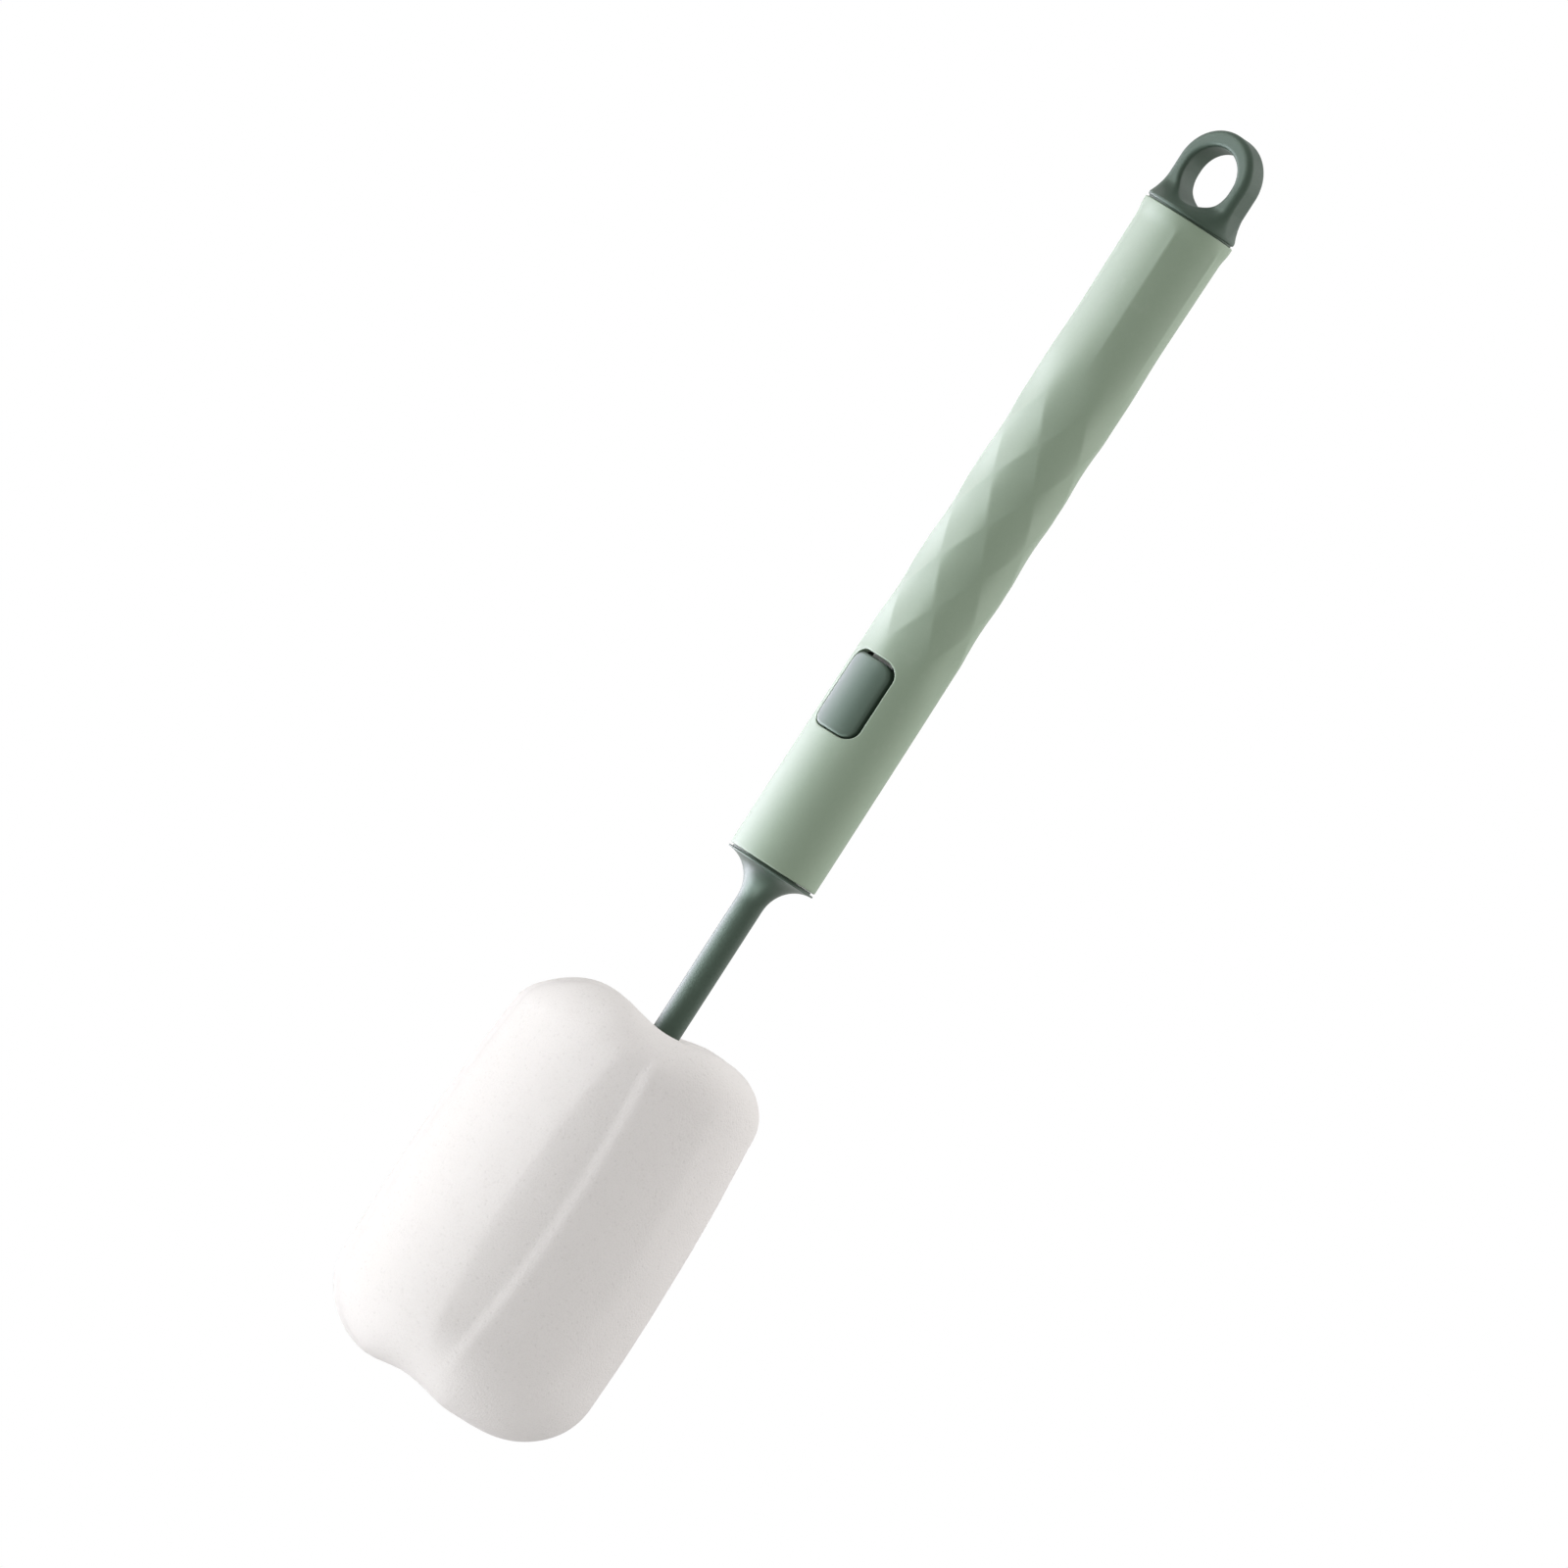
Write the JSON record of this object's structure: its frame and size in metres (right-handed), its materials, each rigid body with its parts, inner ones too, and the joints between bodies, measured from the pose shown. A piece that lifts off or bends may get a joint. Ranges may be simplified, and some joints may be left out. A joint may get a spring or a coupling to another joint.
{
  "type": "sponge bottle brush",
  "caption": "White foam bottle brush head on a dark green stem, plugged into a light green diamond-grip handle with a release button and a hanging loop.",
  "frame": {"origin": "middle of the flat end of the sponge, where the brush stands when it is stood on its head", "axes": "+Z runs along the brush from the sponge to the hanging loop; the release button faces -Y; the loop's hole runs along Y"},
  "size_m": [0.0608, 0.0608, 0.3057],
  "materials": {
    "white_foam": "open foam",
    "dark_green_plastic": "satin moulded",
    "light_green_plastic": "satin moulded",
    "lock_plastic": "dark moulded",
    "spring_steel": "drawn wire",
    "seal_rubber": "matt"
  },
  "bodies": {
    "brush_head": {"sponge": "white_foam", "stem": "dark_green_plastic", "seal_ring": "seal_rubber"},
    "handle": {"handle_shell": "light_green_plastic", "hanging_loop": "dark_green_plastic", "lock_housing": "lock_plastic", "latch_clip": "spring_steel"},
    "button": {"release_button": "dark_green_plastic"}
  },
  "joints": [
    {"name": "head_release", "type": "slide", "parent": "brush_head", "child": "handle", "axis": [0, 0, 1], "range_m": [0, 0.048], "deforming": ["latch_clip"]},
    {"name": "button_press", "type": "slide", "parent": "handle", "child": "button", "axis": [0, 1, 0], "range_m": [0, 0.0015], "stiffness_N_per_m": 600, "springref_m": -0.0025, "deforming": ["latch_clip"]}
  ]
}
